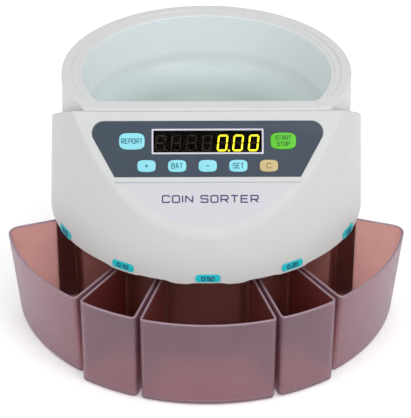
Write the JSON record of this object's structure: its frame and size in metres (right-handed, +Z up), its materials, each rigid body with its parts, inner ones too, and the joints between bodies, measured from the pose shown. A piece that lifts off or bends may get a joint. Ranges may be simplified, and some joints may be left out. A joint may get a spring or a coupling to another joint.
{
  "type": "coin sorting machine",
  "caption": "Desktop coin sorter: a hopper bowl feeds a spinning disc that drops each coin size into its own pull-out cup, with keys and a digital display.",
  "frame": {"origin": "middle of the footprint's box, on the surface that the machine stands on", "axes": "+Z up, the console and cups face -Y, +X to the right as seen from the front"},
  "size_m": [0.3544, 0.3208, 0.2308],
  "materials": {
    "base_plastic": "fine matt texture",
    "rubber": "matt",
    "zinc_steel": "zinc plated",
    "deck_plastic": "matt",
    "rail_steel": "brushed",
    "bronze": "sintered",
    "motor_steel": "satin",
    "bracket_steel": "zinc plated",
    "belt_rubber": "matt",
    "circuit_board": "solder mask",
    "transformer_steel": "lacquered laminations",
    "rear_plate": "matt",
    "connector_plastic": "satin",
    "cover_plastic": "fine satin moulding texture",
    "hopper_plastic": "fine satin moulding texture",
    "panel_film": "printed film",
    "smoked_lens": "smoked, polished",
    "led_block": "matt with seven digit places",
    "disc_plastic": "satin",
    "hub_rubber": "matt",
    "bright_steel": "ground",
    "pulley_plastic": "natural acetal",
    "rocker_plastic": "gloss",
    "chute_plastic": "matt",
    "sensor_plastic": "matt",
    "plate_plastic": "satin gloss",
    "cup_plastic": "tinted, lets some light through",
    "key_blue": "satin silicone",
    "key_green": "satin silicone",
    "key_sand": "satin silicone"
  },
  "bodies": {
    "chassis": {"base_drum": "base_plastic", "base_floor": "base_plastic", "rubber_foot_1": "rubber", "rubber_foot_2": "rubber", "rubber_foot_3": "rubber", "rubber_foot_4": "rubber", "base_screw_1": "zinc_steel", "base_screw_2": "zinc_steel", "base_screw_3": "zinc_steel", "sorting_deck": "deck_plastic", "sorting_rail": "rail_steel", "spindle_bearing": "bronze", "drive_motor": "motor_steel", "motor_bracket": "bracket_steel", "drive_belt": "belt_rubber", "main_board": "circuit_board", "transformer": "transformer_steel", "rear_panel": "rear_plate", "power_inlet": "connector_plastic", "switch_frame": "connector_plastic", "upper_cover": "cover_plastic", "hopper_bowl": "hopper_plastic", "keypad_panel": "panel_film", "display_lens": "smoked_lens", "led_digits": "led_block", "keypad_board": "circuit_board", "coin_chute_front": "chute_plastic", "coin_chute_mid_right": "chute_plastic", "coin_chute_mid_left": "chute_plastic", "coin_chute_right": "chute_plastic", "coin_chute_left": "chute_plastic", "coin_sensor_front": "sensor_plastic", "coin_sensor_mid_right": "sensor_plastic", "coin_sensor_mid_left": "sensor_plastic", "coin_sensor_right": "sensor_plastic", "coin_sensor_left": "sensor_plastic", "value_plate_front": "plate_plastic", "value_plate_mid_right": "plate_plastic", "value_plate_mid_left": "plate_plastic", "value_plate_right": "plate_plastic", "value_plate_left": "plate_plastic"},
    "rotor": {"sorting_disc": "disc_plastic", "hub_cone": "hub_rubber", "spindle_shaft": "bright_steel", "driven_pulley": "pulley_plastic"},
    "motor_rotor": {"motor_shaft": "bright_steel", "motor_pulley": "pulley_plastic"},
    "rocker": {"power_rocker": "rocker_plastic"},
    "body_key_report": {"key_report": "key_blue"},
    "body_key_start_stop": {"key_start_stop": "key_green"},
    "body_key_plus": {"key_plus": "key_blue"},
    "body_key_batch": {"key_batch": "key_blue"},
    "body_key_minus": {"key_minus": "key_blue"},
    "body_key_set": {"key_set": "key_blue"},
    "body_key_clear": {"key_clear": "key_sand"},
    "body_cup_front": {"cup_front": "cup_plastic"},
    "body_cup_mid_right": {"cup_mid_right": "cup_plastic"},
    "body_cup_mid_left": {"cup_mid_left": "cup_plastic"},
    "body_cup_right": {"cup_right": "cup_plastic"},
    "body_cup_left": {"cup_left": "cup_plastic"}
  },
  "joints": [
    {"name": "disc_spin", "type": "hinge", "parent": "chassis", "child": "rotor", "pos_m": [0, 0.0205, 0.112], "axis": [0, 0, 1], "continuous": true},
    {"name": "motor_spin", "type": "hinge", "parent": "chassis", "child": "motor_rotor", "pos_m": [0, 0.0905, 0.092], "axis": [0, 0, 1], "continuous": true},
    {"name": "rocker_tilt", "type": "hinge", "parent": "chassis", "child": "rocker", "pos_m": [-0.016, 0.1475, 0.046], "axis": [1, 0, 0], "range_deg": [-16, 0]},
    {"name": "press_report", "type": "slide", "parent": "chassis", "child": "body_key_report", "axis": [0, 0.788, -0.6157], "range_m": [0, 0.001], "stiffness_N_per_m": 600, "springref_m": -0.001},
    {"name": "press_start_stop", "type": "slide", "parent": "chassis", "child": "body_key_start_stop", "axis": [0, 0.788, -0.6157], "range_m": [0, 0.001], "stiffness_N_per_m": 600, "springref_m": -0.001},
    {"name": "press_plus", "type": "slide", "parent": "chassis", "child": "body_key_plus", "axis": [0, 0.788, -0.6157], "range_m": [0, 0.001], "stiffness_N_per_m": 600, "springref_m": -0.001},
    {"name": "press_batch", "type": "slide", "parent": "chassis", "child": "body_key_batch", "axis": [0, 0.788, -0.6157], "range_m": [0, 0.001], "stiffness_N_per_m": 600, "springref_m": -0.001},
    {"name": "press_minus", "type": "slide", "parent": "chassis", "child": "body_key_minus", "axis": [0, 0.788, -0.6157], "range_m": [0, 0.001], "stiffness_N_per_m": 600, "springref_m": -0.001},
    {"name": "press_set", "type": "slide", "parent": "chassis", "child": "body_key_set", "axis": [0, 0.788, -0.6157], "range_m": [0, 0.001], "stiffness_N_per_m": 600, "springref_m": -0.001},
    {"name": "press_clear", "type": "slide", "parent": "chassis", "child": "body_key_clear", "axis": [0, 0.788, -0.6157], "range_m": [0, 0.001], "stiffness_N_per_m": 600, "springref_m": -0.001},
    {"name": "slide_front", "type": "slide", "parent": "chassis", "child": "body_cup_front", "axis": [0, -1, 0], "range_m": [0, 0.08]},
    {"name": "slide_mid_right", "type": "slide", "parent": "chassis", "child": "body_cup_mid_right", "axis": [0.4787, -0.878, 0], "range_m": [0, 0.08]},
    {"name": "slide_mid_left", "type": "slide", "parent": "chassis", "child": "body_cup_mid_left", "axis": [-0.4787, -0.878, 0], "range_m": [0, 0.08]},
    {"name": "slide_right", "type": "slide", "parent": "chassis", "child": "body_cup_right", "axis": [0.8665, -0.4992, 0], "range_m": [0, 0.08]},
    {"name": "slide_left", "type": "slide", "parent": "chassis", "child": "body_cup_left", "axis": [-0.8665, -0.4992, 0], "range_m": [0, 0.08]}
  ],
  "couplings": [
    {"joint": "motor_spin", "follows": "disc_spin", "ratio": 2.8137}
  ]
}
